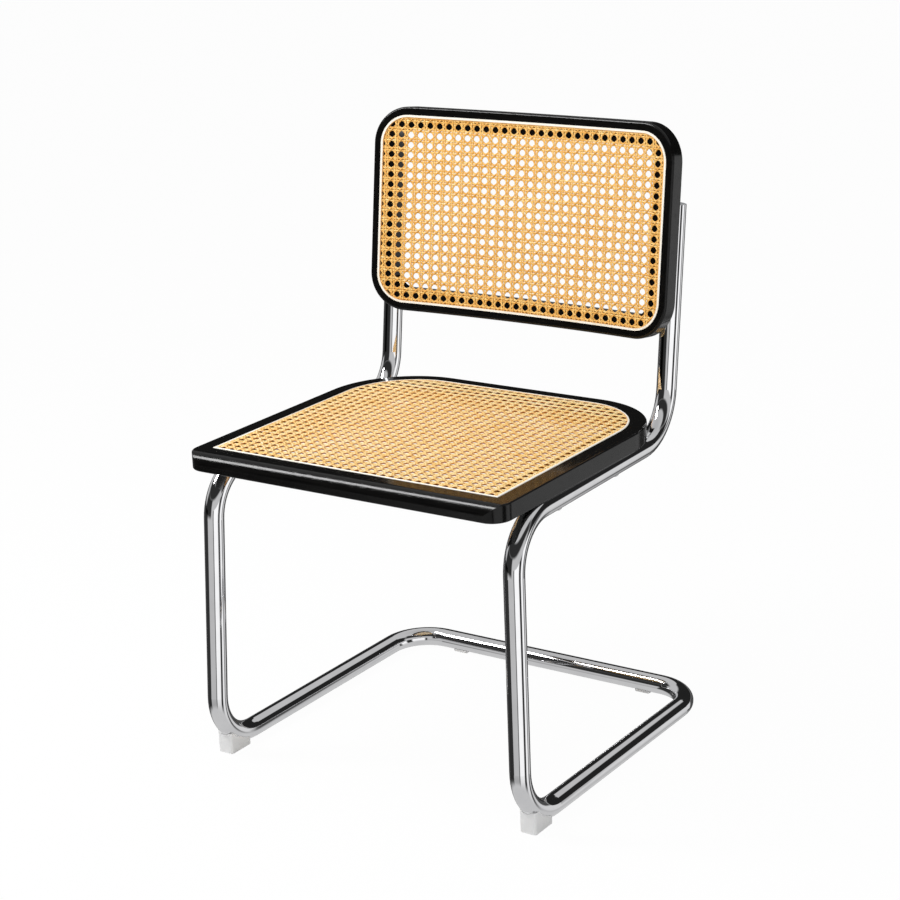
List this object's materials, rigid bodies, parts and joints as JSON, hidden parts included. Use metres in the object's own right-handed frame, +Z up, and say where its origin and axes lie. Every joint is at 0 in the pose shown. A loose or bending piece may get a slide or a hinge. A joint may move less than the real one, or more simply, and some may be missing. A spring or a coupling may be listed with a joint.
{
  "type": "side chair",
  "caption": "Cantilever side chair: bent chrome tube frame, black lacquered wooden seat and back frames with woven cane, clear plastic glides.",
  "frame": {"origin": "on the floor, at the centre of the overall bounding box's footprint", "axes": "+X across the seat, to the right for a viewer who faces the chair's front; +Y from the seat's front edge towards the back; +Z up"},
  "size_m": [0.475, 0.4684, 0.7611],
  "materials": {
    "tube": "polished",
    "frame_wood": "black lacquer",
    "cane": "natural woven cane",
    "reed": "natural reed",
    "dowel": "plain",
    "screw": "polished",
    "glide": "clear",
    "plug": "satin"
  },
  "bodies": {
    "root": {"tube_frame": "tube", "left_tube_plug": "plug", "right_tube_plug": "plug", "front_left_glide": "glide", "front_right_glide": "glide", "rear_left_glide": "glide", "rear_right_glide": "glide", "seat_front_rail": "frame_wood", "seat_rear_rail": "frame_wood", "seat_left_rail": "frame_wood", "seat_right_rail": "frame_wood", "seat_cane": "cane", "seat_front_spline": "reed", "seat_side_spline": "reed", "seat_dowels": "dowel", "seat_screws": "screw", "back_top_rail": "frame_wood", "back_bottom_rail": "frame_wood", "back_left_stile": "frame_wood", "back_right_stile": "frame_wood", "back_cane": "cane", "back_spline": "reed", "back_dowels": "dowel", "back_screws": "screw"}
  },
  "joints": []
}
